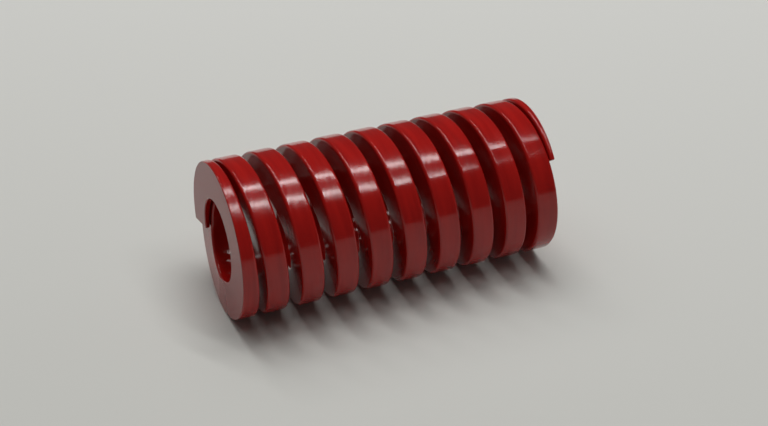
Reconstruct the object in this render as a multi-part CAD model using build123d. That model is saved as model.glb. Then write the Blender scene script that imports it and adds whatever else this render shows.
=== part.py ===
from build123d import *
from build123d.topology import SkipClean
from math import cos, pi, sin
import os

# Die spring for a 25 mm pocket and a 12.5 mm guide rod, standing on its lower ground end.
# Millimetres. +Z runs along the coil axis, the origin is the centre of the lower ground face,
# and the lower wire tip lies at +X. The coil climbs right-handed.

# Driving sizes
outside_diameter = 24.2      # over the coils, free in the 25 mm pocket
inside_diameter = 12.7       # between the coils, free over the 12.5 mm rod
free_length = 51.0           # between the two ground faces
turns = 10.43                # wire tip to wire tip
wire_height = 3.50           # wire section measured along the axis
wire_bevel = 0.40            # on the four long corners of the wire
tip_thickness = 0.75         # wire left at either tip after the end is ground
tip_clearance = 0.12         # daylight between a tip and the coil it closes on
lower_opening_turns = 2.1    # turns over which the lower end opens to the working pitch
upper_opening_turns = 1.4    # the same at the upper end
ground_edge_bevel = 0.20     # deburred rims of the two ground faces
sizing_allowance = 0.30      # wire wound this much proud inside and out, then sized
lengths_per_turn = 2       # lengths the wire is wound in before they are joined
points_per_length = 16       # stations along one length

# Worked out from the sizes above
outer_radius = outside_diameter / 2
inner_radius = inside_diameter / 2
ground_depth = wire_height - tip_thickness
closed_pitch = wire_height + tip_clearance
full_circle = 2 * pi


def opening_share(turns_in, opening_turns):
    """Share of the extra pitch reached this far in from a tip, rising along a quarter sine."""
    return sin(pi / 2 * min(turns_in / opening_turns, 1))


def opening_sum(turns_in, opening_turns):
    """The same share added up from the tip."""
    inside = min(turns_in, opening_turns)
    quarter = opening_turns * 2 / pi
    return quarter * (1 - cos(inside / quarter)) + turns_in - inside


def tip_pitch(working_pitch, opening_turns):
    """Pitch at the very tip that makes the first whole turn close on the next coil."""
    share = opening_sum(1, opening_turns)
    return (closed_pitch - working_pitch * share) / (1 - share)


def end_pitch(turns_in, working_pitch, opening_turns):
    """Pitch this many turns in from a tip."""
    start = tip_pitch(working_pitch, opening_turns)
    return start + (working_pitch - start) * opening_share(turns_in, opening_turns)


def end_rise(turns_in, working_pitch, opening_turns):
    """Height climbed this many turns in from a tip."""
    start = tip_pitch(working_pitch, opening_turns)
    return start * turns_in + (working_pitch - start) * opening_sum(turns_in, opening_turns)


def total_rise(working_pitch):
    """Height climbed by the middle of the wire from tip to tip."""
    half = turns / 2
    lower = end_rise(half, working_pitch, lower_opening_turns)
    upper = end_rise(half, working_pitch, upper_opening_turns)
    return lower + upper


def solve_working_pitch():
    """Working pitch that makes the ground spring stand exactly as tall as its free length."""
    wanted = free_length - wire_height + 2 * ground_depth
    at_none = total_rise(0)
    per_millimetre = total_rise(1) - at_none
    return (wanted - at_none) / per_millimetre


def middle_height(turn, working_pitch):
    """Height of the middle of the wire at this many turns from the lower tip."""
    start = wire_height / 2 - ground_depth
    if turn <= turns / 2:
        return start + end_rise(turn, working_pitch, lower_opening_turns)
    return free_length - start - end_rise(turns - turn, working_pitch, upper_opening_turns)


def local_pitch(turn, working_pitch):
    """Pitch at this many turns from the lower tip."""
    if turn <= turns / 2:
        return end_pitch(turn, working_pitch, lower_opening_turns)
    return end_pitch(turns - turn, working_pitch, upper_opening_turns)


def section_corners():
    """Radius and rise of each corner of the wire section, taken once round it."""
    top = wire_height / 2
    shoulder = top - wire_bevel - sizing_allowance
    outer = outer_radius + sizing_allowance
    inner = inner_radius - sizing_allowance
    outer_flat = outer_radius - wire_bevel
    inner_flat = inner_radius + wire_bevel
    upper = [(outer, shoulder), (outer_flat, top), (inner_flat, top), (inner, shoulder)]
    lower = [(radius, -rise) for radius, rise in reversed(upper)]
    return upper + lower


def wound_line(radius, rise, first, last, working_pitch):
    """Line one corner of the section draws as the wire winds between two turns."""
    step = (last - first) / points_per_length
    stations = [first + step * index for index in range(points_per_length + 1)]
    points = []
    directions = []
    for turn in stations:
        x, y = cos(full_circle * turn), sin(full_circle * turn)
        points.append(Vector(radius * x, radius * y, middle_height(turn, working_pitch) + rise))
        sweep_rate = full_circle * radius
        directions.append(Vector(-sweep_rate * y, sweep_rate * x, local_pitch(turn, working_pitch)))
    ends = [directions[0], directions[-1]]
    return Edge.make_spline(points, tangents=ends, parameters=stations, scale=False)


def wound_length(first, last, working_pitch):
    """Solid length of wire between two turns, before it is sized."""
    lines = [wound_line(radius, rise, first, last, working_pitch) for radius, rise in section_corners()]
    sides = [Face.make_surface_from_curves(line, lines[index - 1]) for index, line in enumerate(lines)]
    cuts = [Face(Wire.make_polygon([line @ end for line in lines])) for end in (0, 1)]
    return Part([Solid(Shell(sides + cuts))])


def sizing_tube():
    """Tube that sizes the coil inside and out, with both ends flat and their rims deburred."""
    tube = Cylinder(outer_radius, free_length) - Cylinder(inner_radius, free_length)
    rims = tube.edges().filter_by(GeomType.CIRCLE)
    return Pos(0, 0, free_length / 2) * chamfer(rims, ground_edge_bevel)


def die_spring():
    """The wire wound, sized, ground and deburred."""
    working_pitch = solve_working_pitch()
    tube = sizing_tube()
    count = round(turns * lengths_per_turn)
    lengths = []
    for index in range(count):
        first, last = turns * index / count, turns * (index + 1) / count
        opposite = 360 * ((first + last) / 2 + 1 / 2)
        lengths += (Rot(0, 0, opposite) * tube & wound_length(first, last, working_pitch)).solids()
    # the walls stay divided at the joins, so that no one face winds more than its length round
    with SkipClean():
        return lengths[0].fuse(*lengths[1:])


os.makedirs("parts", exist_ok=True)
export_step(die_spring(), "parts/die_spring.step")
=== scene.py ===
import logging
import math
from dataclasses import dataclass, field
from enum import Enum
from typing import Any

import bpy
import numpy as np
from mathutils import Matrix, Vector


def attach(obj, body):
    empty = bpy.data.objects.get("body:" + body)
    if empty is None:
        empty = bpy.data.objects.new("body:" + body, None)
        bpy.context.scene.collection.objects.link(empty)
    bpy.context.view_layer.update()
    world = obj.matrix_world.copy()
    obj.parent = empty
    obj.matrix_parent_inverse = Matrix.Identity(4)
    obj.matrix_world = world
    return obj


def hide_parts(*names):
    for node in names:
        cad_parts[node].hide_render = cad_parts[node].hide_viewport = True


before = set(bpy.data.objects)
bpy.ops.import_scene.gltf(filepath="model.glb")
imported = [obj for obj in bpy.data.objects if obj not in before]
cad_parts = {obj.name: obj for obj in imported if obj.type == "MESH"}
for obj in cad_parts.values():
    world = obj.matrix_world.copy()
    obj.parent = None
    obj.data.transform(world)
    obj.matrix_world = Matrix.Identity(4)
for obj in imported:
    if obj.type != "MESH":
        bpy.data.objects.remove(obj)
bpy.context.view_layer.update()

MM = 0.001
BODY = "root"
NODE = "die_spring"
log = logging.getLogger("die_spring")


def linear(hex_colour: str) -> tuple[float, float, float, float]:
    """Turn an sRGB hex colour into a linear RGBA one.

    Args:
        hex_colour: six hex digits after a hash.

    Returns:
        Linear red, green and blue, and an alpha of one.
    """
    values = [int(hex_colour[i : i + 2], 16) / 255 for i in (1, 3, 5)]
    curve = [v / 12.92 if v <= 0.04045 else ((v + 0.055) / 1.055) ** 2.4 for v in values]
    return (curve[0], curve[1], curve[2], 1.0)


def add_node(
    tree: bpy.types.NodeTree, kind: str, inputs: dict[Any, Any] | None = None, **settings: Any
) -> bpy.types.Node:
    """Add one node, set its properties, and fill or link its inputs.

    Args:
        tree: node tree that takes the node.
        kind: Blender's type name of the node.
        inputs: input name or number to a value, or to the socket that feeds it.
        **settings: properties of the node itself.

    Returns:
        The new node.
    """
    node = tree.nodes.new(kind)
    for name, value in settings.items():
        setattr(node, name, value)
    for key, value in (inputs or {}).items():
        if isinstance(value, bpy.types.NodeSocket):
            tree.links.new(value, node.inputs[key])
        else:
            node.inputs[key].default_value = value
    return node


class End(Enum):
    """The two ends of the wire."""

    LOWER = "lower"
    UPPER = "upper"


@dataclass(frozen=True)
class RedEnamel:
    """Thin glossy enamel sprayed over drawn and coiled spring steel.

    Enamel on drawn wire gives the eye a deep clear red with a sharp gloss, broken by the fine
    lines that the drawing die left along the wire, which the thin coat doesn't fill.
    """

    body: str = "#A81510"
    deep: str = "#980F0C"
    ground_tint: str = "#8F1512"
    roughness: float = 0.10
    line_polish: float = 0.03           # roughness lost between the drawing lines
    line_dulling: float = 0.08          # roughness gained on them
    ground_roughness: float = 0.30
    ior: float = 1.45
    coat: float = 0.1
    coat_roughness: float = 0.06
    draw_line_width: float = 0.28       # mm between the drawing lines, drawn coarse enough to show
    draw_line_length: float = 26.0      # mm a line runs before it fades
    draw_line_depth: float = 0.0065     # mm
    ripple_width: float = 1.6           # mm between the slow waves in the coat
    ripple_stretch: float = 0.3         # waves along the wire for one round it
    ripple_depth: float = 0.006         # mm
    grind_line_width: float = 0.5       # mm between the grinding lines under the coat
    grind_line_stretch: float = 14.0    # length of a grinding line over its width
    grind_angle: float = 28.0           # degrees
    patches_per_mm: tuple[float, float] = (0.12, 0.9)   # thin and thick coat, along and round the wire
    patch_edges: tuple[float, float] = (0.35, 0.65)     # noise levels of the deep and the plain red
    line_edges: tuple[float, float] = (0.3, 0.7)        # noise levels of a polished and a dull line

    def build(self) -> bpy.types.Material:
        """Make the material.

        Returns:
            The enamel, reading the wire's own UV map and its ground attribute.
        """
        material = bpy.data.materials.new("red_enamel_on_drawn_wire")
        material.use_nodes = True
        tree = material.node_tree
        tree.nodes.clear()
        uv = add_node(tree, "ShaderNodeUVMap", uv_map="wire").outputs["UV"]
        ground = add_node(tree, "ShaderNodeAttribute", attribute_name="ground").outputs["Fac"]
        lines = self._lines(tree, uv)
        surface = add_node(
            tree,
            "ShaderNodeBsdfPrincipled",
            {
                "Base Color": self._colour(tree, uv, ground),
                "Roughness": self._gloss(tree, lines, ground),
                "IOR": self.ior,
                "Coat Weight": self.coat,
                "Coat Roughness": self.coat_roughness,
                "Normal": self._relief(tree, uv, lines, ground),
            },
        )
        add_node(tree, "ShaderNodeOutputMaterial", {"Surface": surface.outputs["BSDF"]})
        return material

    def _lines(self, tree: bpy.types.NodeTree, uv: bpy.types.NodeSocket) -> bpy.types.NodeSocket:
        """Make the drawing lines: noise stretched along the wire by a line's length over its width.

        Args:
            tree: node tree that takes the nodes.
            uv: millimetres along and round the wire.

        Returns:
            The noise's level.
        """
        scale = (1 / self.draw_line_length, 1 / self.draw_line_width, 1.0)
        stretched = add_node(tree, "ShaderNodeVectorMath", {0: uv, 1: scale}, operation="MULTIPLY")
        settings = {"Vector": stretched.outputs[0], "Scale": 1.0, "Detail": 3.0, "Roughness": 0.6}
        return add_node(tree, "ShaderNodeTexNoise", settings).outputs["Fac"]

    def _ripple(self, tree: bpy.types.NodeTree, uv: bpy.types.NodeSocket) -> bpy.types.NodeSocket:
        """Make the slow waves where the sprayed coat flowed before it set.

        Args:
            tree: node tree that takes the nodes.
            uv: millimetres along and round the wire.

        Returns:
            The noise's level.
        """
        scale = (self.ripple_stretch / self.ripple_width, 1 / self.ripple_width, 1.0)
        spread = add_node(tree, "ShaderNodeVectorMath", {0: uv, 1: scale}, operation="MULTIPLY")
        settings = {"Vector": spread.outputs[0], "Scale": 1.0, "Detail": 1.0}
        return add_node(tree, "ShaderNodeTexNoise", settings).outputs["Fac"]

    def _grinding(self, tree: bpy.types.NodeTree) -> bpy.types.NodeSocket:
        """Make the grinding lines: noise stretched across the ground face in one direction.

        Args:
            tree: node tree that takes the nodes.

        Returns:
            The noise's level.
        """
        place = add_node(tree, "ShaderNodeTexCoord").outputs["Object"]
        across = 1 / (self.grind_line_width * MM)
        turned = add_node(
            tree,
            "ShaderNodeMapping",
            {
                "Vector": place,
                "Rotation": (0.0, 0.0, math.radians(self.grind_angle)),
                "Scale": (across, across / self.grind_line_stretch, 1.0),
            },
        )
        settings = {"Vector": turned.outputs["Vector"], "Scale": 1.0, "Detail": 2.0}
        return add_node(tree, "ShaderNodeTexNoise", settings).outputs["Fac"]

    def _relief(
        self,
        tree: bpy.types.NodeTree,
        uv: bpy.types.NodeSocket,
        lines: bpy.types.NodeSocket,
        ground: bpy.types.NodeSocket,
    ) -> bpy.types.NodeSocket:
        """Lay the coat's slow waves over the drawing lines or, on a ground face, the grinding lines.

        Args:
            tree: node tree that takes the nodes.
            uv: millimetres along and round the wire.
            lines: level of the drawing lines.
            ground: one on a ground face, nothing elsewhere.

        Returns:
            The bumped normal.
        """
        grinding = self._grinding(tree)
        height = add_node(tree, "ShaderNodeMix", {0: ground, 2: lines, 3: grinding}, data_type="FLOAT")
        fine = add_node(
            tree,
            "ShaderNodeBump",
            {"Strength": 1.0, "Distance": self.draw_line_depth * MM, "Height": height.outputs[0]},
        )
        slow = add_node(
            tree,
            "ShaderNodeBump",
            {
                "Strength": 1.0,
                "Distance": self.ripple_depth * MM,
                "Height": self._ripple(tree, uv),
                "Normal": fine.outputs["Normal"],
            },
        )
        return slow.outputs["Normal"]

    def _gloss(
        self, tree: bpy.types.NodeTree, lines: bpy.types.NodeSocket, ground: bpy.types.NodeSocket
    ) -> bpy.types.NodeSocket:
        """Set the roughness: sharp between the drawing lines, dull on them, satin on the ground faces.

        Args:
            tree: node tree that takes the nodes.
            lines: level of the drawing lines.
            ground: one on a ground face, nothing elsewhere.

        Returns:
            The roughness.
        """
        polished, dull = self.line_edges
        drawn = add_node(
            tree,
            "ShaderNodeMapRange",
            {
                "Value": lines,
                "From Min": polished,
                "From Max": dull,
                "To Min": self.roughness - self.line_polish,
                "To Max": self.roughness + self.line_dulling,
            },
        )
        settings = {0: ground, 2: drawn.outputs["Result"], 3: self.ground_roughness}
        return add_node(tree, "ShaderNodeMix", settings, data_type="FLOAT").outputs[0]

    def _colour(
        self, tree: bpy.types.NodeTree, uv: bpy.types.NodeSocket, ground: bpy.types.NodeSocket
    ) -> bpy.types.NodeSocket:
        """Colour the coat: thicker and thinner patches, and a duller red on the ground faces.

        Args:
            tree: node tree that takes the nodes.
            uv: millimetres along and round the wire.
            ground: one on a ground face, nothing elsewhere.

        Returns:
            The colour.
        """
        scale = (*self.patches_per_mm, 1.0)
        patches = add_node(tree, "ShaderNodeVectorMath", {0: uv, 1: scale}, operation="MULTIPLY")
        noise = add_node(
            tree, "ShaderNodeTexNoise", {"Vector": patches.outputs[0], "Scale": 1.0, "Detail": 3.0}
        )
        deep, plain = self.patch_edges
        share = add_node(
            tree, "ShaderNodeMapRange", {"Value": noise.outputs["Fac"], "From Min": deep, "From Max": plain}
        )
        reds = {0: share.outputs["Result"], 6: linear(self.deep), 7: linear(self.body)}
        coat = add_node(tree, "ShaderNodeMix", reds, data_type="RGBA")
        faces = {0: ground, 6: coat.outputs[2], 7: linear(self.ground_tint)}
        return add_node(tree, "ShaderNodeMix", faces, data_type="RGBA").outputs[2]


@dataclass
class CoiledWire:
    """The spring's one wire, wound right-handed with closed and ground ends. Sizes in millimetres."""

    outer_radius: float = 12.1
    inner_radius: float = 6.35
    free_length: float = 51.0
    turns: float = 10.43
    wire_height: float = 3.5
    corner_radius: float = 0.42
    ground_rim_radius: float = 0.2
    tip_thickness: float = 0.75
    tip_clearance: float = 0.12
    lower_opening: float = 2.1
    upper_opening: float = 1.4
    tip_edge_radius: float = 0.15
    grind_run_in: float = 0.3           # depth of grinding over which a corner turns into the rim
    least_corner: float = 0.03          # radius that a corner keeps at the tip's edge
    stations_per_turn: int = 180
    stations_per_tip_edge: int = 5
    points_per_corner: int = 6
    finish: RedEnamel = field(default_factory=RedEnamel)

    def opening(self, end: End) -> float:
        """Turns over which one end opens to the working pitch."""
        return self.lower_opening if end is End.LOWER else self.upper_opening

    @property
    def ground_depth(self) -> float:
        """Height of wire ground away at a tip."""
        return self.wire_height - self.tip_thickness

    @property
    def wire_radius(self) -> float:
        """Radius of the middle of the wire."""
        return (self.outer_radius + self.inner_radius) / 2

    def opening_sum(self, turn: np.ndarray, end: End) -> np.ndarray:
        """Extra pitch added up from a tip.

        The share of the extra pitch is the sine of a quarter wave over the opening turns and one
        after them, so its sum is (2w/pi) (1 - cos(pi u / 2w)) and then grows turn for turn.

        Args:
            turn: turns in from the tip.
            end: which end opens.

        Returns:
            Sum of the share, in turns.
        """
        width = self.opening(end)
        quarter = width * 2 / math.pi
        inside = np.minimum(turn, width)
        return quarter * (1 - np.cos(inside / quarter)) + turn - inside

    def rise(self, turn: np.ndarray, pitch: float, end: End) -> np.ndarray:
        """Height climbed from a tip: tip pitch times turns, plus the rest of the pitch times its sum.

        Args:
            turn: turns in from the tip.
            pitch: working pitch.
            end: which end opens.

        Returns:
            Height in millimetres.
        """
        share = float(self.opening_sum(np.array(1.0), end))
        tip = (self.wire_height + self.tip_clearance - pitch * share) / (1 - share)
        return tip * turn + (pitch - tip) * self.opening_sum(turn, end)

    def working_pitch(self) -> float:
        """Find the pitch that makes both ends meet at the free length; the rise is linear in it.

        Returns:
            The working pitch in millimetres.
        """
        half = np.array(self.turns / 2)

        def total(pitch: float) -> float:
            """Rise from tip to tip at this working pitch."""
            return sum(float(self.rise(half, pitch, end)) for end in End)

        wanted = self.free_length - self.wire_height + 2 * self.ground_depth
        return (wanted - total(0.0)) / (total(1.0) - total(0.0))

    def middle_height(self, turn: np.ndarray) -> np.ndarray:
        """Height of the wire's middle: the lower end's rise to half way, then the upper end's, downwards.

        Args:
            turn: turns from the lower tip.

        Returns:
            Height above the lower ground face.
        """
        pitch = self.working_pitch()
        start = self.wire_height / 2 - self.ground_depth
        from_below = start + self.rise(turn, pitch, End.LOWER)
        from_above = self.free_length - start - self.rise(self.turns - turn, pitch, End.UPPER)
        return np.where(turn <= self.turns / 2, from_below, from_above)

    def stations(self) -> np.ndarray:
        """Choose the turns at which a section stands.

        They are even along the wire. Round each tip's edge a few more lie at e (1 - cos a) from
        the tip, with e the edge's radius and a going from nothing to a quarter turn.

        Returns:
            Turns from the lower tip.
        """
        quarter = np.linspace(0, math.pi / 2, self.stations_per_tip_edge)
        edge = self.tip_edge_radius * (1 - np.cos(quarter)) / (2 * math.pi * self.wire_radius)
        even = np.linspace(edge[-1], self.turns - edge[-1], round(self.turns * self.stations_per_turn))
        return np.concatenate([edge[:-1], even, self.turns - edge[:-1][::-1]])

    def sections(self) -> dict[str, np.ndarray]:
        """Work out every section along the wire as whole arrays.

        A section is a rectangle with rounded corners between the two flanks. Its lower flank is
        the wire's own or the lower ground plane, whichever is higher, and its upper flank the same
        upside down. A corner's radius falls from the wire's own to the ground rim's over the
        grinding's run-in. Within the tip edge's radius e of a tip, at a distance d from it, the
        whole section shrinks by e - sqrt(e^2 - (e - d)^2).

        Returns:
            Turns, corner angles, and arrays of stations by points: radius, height, ground share.
        """
        turn = self.stations()
        middle = self.middle_height(turn)
        lower = middle - self.wire_height / 2
        upper = middle + self.wire_height / 2
        lower_cut = np.clip(-lower / self.grind_run_in, 0, 1)
        upper_cut = np.clip((upper - self.free_length) / self.grind_run_in, 0, 1)
        distance = np.minimum(turn, self.turns - turn) * 2 * math.pi * self.wire_radius
        short = np.clip(self.tip_edge_radius - distance, 0, self.tip_edge_radius)
        shrink = self.tip_edge_radius - np.sqrt(self.tip_edge_radius**2 - short**2)
        low = np.maximum(lower, 0) + shrink
        high = np.minimum(upper, self.free_length) - shrink
        fall = self.corner_radius - self.ground_rim_radius
        low_corner = np.maximum(self.corner_radius - fall * lower_cut - shrink, self.least_corner)
        high_corner = np.maximum(self.corner_radius - fall * upper_cut - shrink, self.least_corner)
        quarter = np.linspace(0, math.pi / 2, self.points_per_corner)
        outer, inner = self.outer_radius - shrink, self.inner_radius + shrink
        # corner centres, outer low, outer high, inner high, inner low, and the angle each starts at
        corners = [
            (outer - low_corner, low + low_corner, low_corner, -math.pi / 2),
            (outer - high_corner, high - high_corner, high_corner, 0.0),
            (inner + high_corner, high - high_corner, high_corner, math.pi / 2),
            (inner + low_corner, low + low_corner, low_corner, math.pi),
        ]
        angle = np.concatenate([start + quarter for *_, start in corners])
        centre_r = np.repeat(np.stack([c[0] for c in corners], 1), len(quarter), axis=1)
        centre_z = np.repeat(np.stack([c[1] for c in corners], 1), len(quarter), axis=1)
        size = np.repeat(np.stack([c[2] for c in corners], 1), len(quarter), axis=1)
        radius = centre_r + size * np.cos(angle)
        height = centre_z + size * np.sin(angle)
        # the fourth power keeps the ground finish to the flat and the rim's last part
        faces_down = np.clip(-np.sin(angle), 0, 1) ** 4
        faces_up = np.clip(np.sin(angle), 0, 1) ** 4
        ground = lower_cut[:, None] * faces_down + upper_cut[:, None] * faces_up
        return {"turn": turn, "radius": radius, "height": height, "angle": angle, "ground": ground}

    def surface(self) -> dict[str, np.ndarray]:
        """Carry the sections round the axis and work out normals and UVs.

        A point is (r cos t, r sin t, z) with t = 2 pi turn. Its normal is the cross product of
        the difference between neighbouring stations and the section's tangent, (-sin a, cos a)
        in radius and height.

        Returns:
            Points, normals, quad corners, UVs in millimetres, and the ground share.
        """
        section = self.sections()
        swing = 2 * math.pi * section["turn"][:, None]
        cos_t, sin_t = np.cos(swing), np.sin(swing)
        radius, height = section["radius"], section["height"]
        points = np.stack([radius * cos_t, radius * sin_t, height + 0 * swing], axis=-1)
        across_r, across_z = -np.sin(section["angle"]), np.cos(section["angle"])
        across = np.stack([across_r * cos_t, across_r * sin_t, across_z + 0 * cos_t], axis=-1)
        normals = np.cross(np.gradient(points, axis=0), across)
        normals /= np.linalg.norm(normals, axis=-1, keepdims=True)
        rows, columns = radius.shape
        grid = np.arange(rows * columns).reshape(rows, columns)
        beside = np.roll(grid, -1, axis=1)
        quads = np.stack([grid[:-1], grid[1:], beside[1:], beside[:-1]], axis=-1).reshape(-1, 4)
        steps = np.linalg.norm(np.diff(points, axis=1, append=points[:, :1]), axis=-1)
        v_here = np.concatenate([[0.0], np.cumsum(np.median(steps, axis=0))])
        u_here = section["turn"] * 2 * math.pi * self.wire_radius
        i, j = np.meshgrid(np.arange(rows - 1), np.arange(columns), indexing="ij")
        u = np.stack([u_here[i], u_here[i + 1], u_here[i + 1], u_here[i]], axis=-1).reshape(-1)
        v = np.stack([v_here[j], v_here[j], v_here[j + 1], v_here[j + 1]], axis=-1).reshape(-1)
        return {
            "points": points.reshape(-1, 3) * MM,
            "normals": normals.reshape(-1, 3),
            "quads": quads,
            "uv": np.stack([u, v], axis=-1),
            "ground": section["ground"].reshape(-1),
        }

    def far_direction(self) -> list[float]:
        """Way the upper tip's end faces: on along the winding."""
        angle = 2 * math.pi * self.turns
        return [-math.sin(angle), math.cos(angle), 0.0]

    def build(self) -> bpy.types.Object:
        """Make the wire as one closed mesh with its own normals, and dress it.

        Returns:
            The wire's object, at the origin, riding on the one body.
        """
        made = self.surface()
        columns = 4 * self.points_per_corner
        last = len(made["points"]) - columns
        caps = [list(range(columns)), list(range(last, last + columns))[::-1]]
        mesh = bpy.data.meshes.new("coiled_wire")
        quads = made["quads"]
        mesh.from_pydata(made["points"], [], quads.tolist() + caps)
        mesh.polygons.foreach_set("use_smooth", np.append(np.ones(len(quads), bool), [False, False]))
        cap_uv = np.zeros((len(caps) * columns, 2))
        layer = mesh.uv_layers.new(name="wire")
        layer.data.foreach_set("uv", np.concatenate([made["uv"], cap_uv]).reshape(-1))
        attribute = mesh.attributes.new("ground", "FLOAT", "POINT")
        attribute.data.foreach_set("value", made["ground"])
        mesh.update()
        walls = made["normals"][quads.reshape(-1)]
        ends = np.repeat([[0.0, -1.0, 0.0], self.far_direction()], columns, axis=0)
        mesh.normals_split_custom_set(np.concatenate([walls, ends]).tolist())
        wire = bpy.data.objects.new("coiled_wire", mesh)
        bpy.context.scene.collection.objects.link(wire)
        mesh.materials.append(self.finish.build())
        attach(wire, BODY)
        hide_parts(NODE)
        log.info("coiled_wire: %d faces, working pitch %.3f mm", len(mesh.polygons), self.working_pitch())
        return wire


@dataclass(frozen=True)
class Bench:
    """Where the spring lies: on its side on a pale sheet. Directions in the row frame."""

    up_angle: float = 104.25    # degrees round +Z from +X to the sheet's upward direction
    radius: float = 12.1        # mm from the coil axis to the sheet
    middle: float = 25.5        # mm up the coil axis

    @property
    def up(self) -> Vector:
        """Away from the sheet."""
        return Vector((math.cos(math.radians(self.up_angle)), math.sin(math.radians(self.up_angle)), 0.0))

    @property
    def along(self) -> Vector:
        """Along the coil axis."""
        return Vector((0.0, 0.0, 1.0))

    @property
    def front(self) -> Vector:
        """Across the coil, towards the viewer."""
        return self.along.cross(self.up)

    def point(self, along: float, up: float, front: float) -> Vector:
        """A place given in millimetres from the spring's middle.

        Args:
            along: along the axis.
            up: away from the sheet.
            front: towards the viewer.

        Returns:
            The place in metres in the row frame.
        """
        offset = self.along * (along + self.middle) + self.up * up + self.front * front
        return offset * MM


@dataclass(frozen=True)
class MattSheet:
    """Pale matt card: a soft grey that takes shadows and gives no reflection, with a painted shade darkening
    it towards one side.

    It shows only from its front, so it never hides the spring from a view behind it.
    """

    name: str
    shaded_end: str                                           # colour at the painted-shade end of its change of tone
    lit_end: str
    heading: Vector
    shade_reach: float = 0.14                                 # metres each way over which the painted shade changes

    def build(self) -> bpy.types.Material:
        """Make the material, whose tone changes along its heading as a painted shade, darker at its start.

        Returns:
            The card.
        """
        material = bpy.data.materials.new(self.name)
        material.use_nodes = True
        tree = material.node_tree
        tree.nodes.clear()
        place = add_node(tree, "ShaderNodeTexCoord").outputs["Object"]
        along = {0: place, 1: tuple(self.heading)}
        measure = add_node(tree, "ShaderNodeVectorMath", along, operation="DOT_PRODUCT")
        share = add_node(
            tree,
            "ShaderNodeMapRange",
            {"Value": measure.outputs["Value"], "From Min": -self.shade_reach, "From Max": self.shade_reach},
        )
        # painted shade: the card runs from a darker tone to a lighter one, standing in for the light's
        # falloff
        shade_to_light = {0: share.outputs["Result"], 6: linear(self.shaded_end), 7: linear(self.lit_end)}
        colour = add_node(tree, "ShaderNodeMix", shade_to_light, data_type="RGBA").outputs[2]
        card = add_node(tree, "ShaderNodeBsdfDiffuse", {"Color": colour}).outputs["BSDF"]
        clear = add_node(tree, "ShaderNodeBsdfTransparent").outputs["BSDF"]
        behind = add_node(tree, "ShaderNodeNewGeometry").outputs["Backfacing"]
        mixed = add_node(tree, "ShaderNodeMixShader", {0: behind, 1: card, 2: clear})
        add_node(tree, "ShaderNodeOutputMaterial", {"Surface": mixed.outputs["Shader"]})
        return material


@dataclass
class Stage:
    """The sheet the spring lies on, and a floor that only the upright views see."""

    bench: Bench
    half_size: float = 2.5                              # metres
    painted_shade_heading: tuple[float, float] = (0.55, -0.85)   # along and front parts of the way the sheet's painted shade fades

    def plane(self, name: str, centre: Vector, normal: Vector) -> bpy.types.Object:
        """Make one large square facing a direction.

        Args:
            name: object's name.
            centre: its middle, in metres.
            normal: the way it faces.

        Returns:
            The square, its place in its mesh.
        """
        side = normal.orthogonal().normalized()
        other = normal.cross(side)
        signs = ((-1, -1), (1, -1), (1, 1), (-1, 1))
        corners = [centre + (side * a + other * b) * self.half_size for a, b in signs]
        mesh = bpy.data.meshes.new(name)
        mesh.from_pydata([tuple(c) for c in corners], [], [(0, 1, 2, 3)])
        square = bpy.data.objects.new(name, mesh)
        bpy.context.scene.collection.objects.link(square)
        return square

    def build(self) -> None:
        """Make both planes; the floor is there for the eye alone and lights nothing."""
        bench = self.bench
        sheet = self.plane("sheet", bench.point(0, -bench.radius, 0), bench.up)
        along, front = self.painted_shade_heading
        tone = (bench.along * along + bench.front * front).normalized()
        # painted shade on the sheet: darker towards the viewer and the spring's lower end, lighter away from
        # them
        sheet.data.materials.append(MattSheet("pale_sheet_painted_shade", "#C4C4BE", "#DADAD6", tone).build())
        floor = self.plane("upright_floor", Vector((0, 0, 0)), bench.along)
        floor.data.materials.append(MattSheet("pale_floor", "#D8D8D4", "#D8D8D4", bench.up).build())
        for ray in ("diffuse", "glossy", "shadow", "transmission"):
            setattr(floor, f"visible_{ray}", False)
        log.info("stage: sheet and upright floor")


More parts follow.
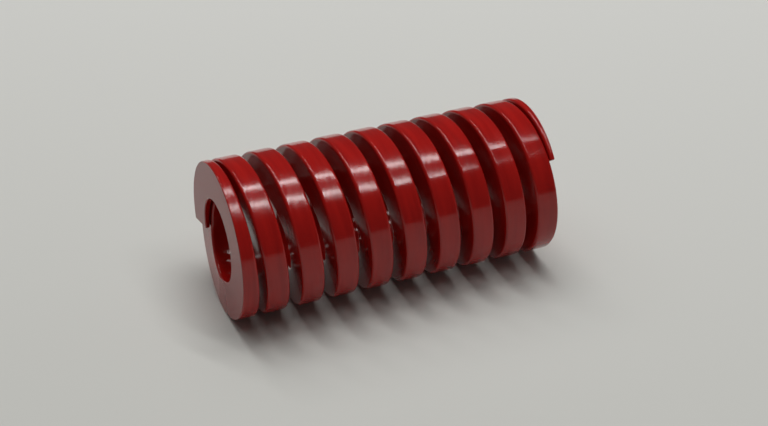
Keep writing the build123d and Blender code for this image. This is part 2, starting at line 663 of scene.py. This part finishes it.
@dataclass
class Lighting:
    """Two long ceiling strips over a dim room, with soft fill for the views all round.

    Radiance is a lamp's brightness, where 1 is paper white.
    """

    bench: Bench
    height: float = 800.0                           # mm from the axis to the strips
    heading: tuple[float, float] = (0.53, 0.85)     # along and front parts of the strips' direction
    strip_width: float = 0.05                       # of the height
    strip_length: float = 1.35                      # of the height
    near_ends: tuple[tuple[float, float], ...] = ((0.445, 0.175), (0.45, 0.65))  # of the height
    strip_radiance: float = 19.0
    soft_place: tuple[float, float, float] = (-100.0, 1000.0, -350.0)   # mm along, up and front
    soft_size: tuple[float, float] = (1.2, 1.2)     # metres
    soft_radiance: float = 0.75
    top_place: tuple[float, float, float] = (1400.0, 0.0, 0.0)
    top_size: tuple[float, float] = (0.9, 0.9)
    top_radiance: float = 0.8
    room: float = 0.07                              # strength of the room's even light
    background: str = "#D2D2CE"

    def area(
        self,
        name: str,
        centre: Vector,
        target: Vector,
        size: tuple[float, float],
        heading: Vector,
        radiance: float,
    ) -> bpy.types.Object:
        """Make one rectangular lamp of a given brightness.

        Args:
            name: lamp's name.
            centre: its middle, in metres.
            target: the point it faces.
            size: length and width in metres.
            heading: direction of its length.
            radiance: brightness of its face, where 1 is paper white.

        Returns:
            The lamp. Its power is radiance times pi times its area.
        """
        data = bpy.data.lights.new(name, "AREA")
        data.shape = "RECTANGLE"
        data.size, data.size_y = size
        data.energy = radiance * math.pi * size[0] * size[1]
        lamp = bpy.data.objects.new(name, data)
        bpy.context.scene.collection.objects.link(lamp)
        back = (centre - target).normalized()
        x_axis = (heading - back * heading.dot(back)).normalized()
        y_axis = back.cross(x_axis)
        turn = Matrix((x_axis, y_axis, back)).transposed()
        lamp.matrix_world = Matrix.Translation(centre) @ turn.to_4x4()
        return lamp

    def build(self) -> None:
        """Make the strips, the fill, which no gloss shows, and the world."""
        bench = self.bench
        heading = (bench.along * self.heading[0] + bench.front * self.heading[1]).normalized()
        half = self.strip_length * self.height / 2
        for number, (along, front) in enumerate(self.near_ends):
            end = bench.point(along * self.height, self.height, front * self.height)
            centre = end - heading * half * MM
            size = (self.strip_length * self.height * MM, self.strip_width * self.height * MM)
            below = centre - bench.up * self.height * MM
            self.area(f"ceiling_strip_{number}", centre, below, size, heading, self.strip_radiance)
        place, middle = bench.point(*self.soft_place), bench.point(0, 0, 0)
        soft = self.area("soft_ceiling", place, middle, self.soft_size, bench.along, self.soft_radiance)
        place = bench.point(*self.top_place)
        top = self.area("upright_top_light", place, middle, self.top_size, bench.up, self.top_radiance)
        soft.visible_glossy = top.visible_glossy = False
        self._world()
        log.info("lighting: %d strips", len(self.near_ends))

    def _world(self) -> None:
        """A dim even room, seen pale where it is the background."""
        world = bpy.data.worlds.new("dim_room")
        bpy.context.scene.world = world
        world.use_nodes = True
        tree = world.node_tree
        tree.nodes.clear()
        room = add_node(tree, "ShaderNodeBackground", {"Color": (1.0, 1.0, 0.98, 1.0), "Strength": self.room})
        pale = add_node(tree, "ShaderNodeBackground", {"Color": linear(self.background), "Strength": 1.0})
        seen = add_node(tree, "ShaderNodeLightPath").outputs["Is Camera Ray"]
        mixed = add_node(tree, "ShaderNodeMixShader", {0: seen, 1: room.outputs[0], 2: pale.outputs[0]})
        add_node(tree, "ShaderNodeOutputWorld", {"Surface": mixed.outputs["Shader"]})


@dataclass
class Viewpoint:
    """The camera, level with the sheet and looking down on the lying spring. Millimetres."""

    bench: Bench
    place: tuple[float, float, float] = (-233.67, 86.97, -57.31)
    target: tuple[float, float, float] = (-0.744, -1.155, 26.354)
    lens: float = 80.18

    def build(self) -> bpy.types.Object:
        """Make the camera.

        Returns:
            The scene's camera.
        """
        data = bpy.data.cameras.new("viewpoint")
        data.lens, data.sensor_width = self.lens, 36.0
        data.clip_start, data.clip_end = 0.01, 20.0
        camera = bpy.data.objects.new("viewpoint", data)
        bpy.context.scene.collection.objects.link(camera)
        place, target = Vector(self.place) * MM, Vector(self.target) * MM
        back = (place - target).normalized()
        right = self.bench.up.cross(back).normalized()
        turn = Matrix((right, back.cross(right), back)).transposed()
        camera.matrix_world = Matrix.Translation(place) @ turn.to_4x4()
        bpy.context.scene.camera = camera
        return camera


def main() -> None:
    """Build the spring, its stage, lights and camera, and log the spring, the stage and the lights."""
    logging.basicConfig(level=logging.INFO, format="%(name)s %(message)s")
    bench = Bench()
    CoiledWire().build()
    Stage(bench).build()
    Lighting(bench).build()
    Viewpoint(bench).build()
    bpy.context.scene.view_settings.view_transform = "Standard"


if __name__ == "__main__":
    main()
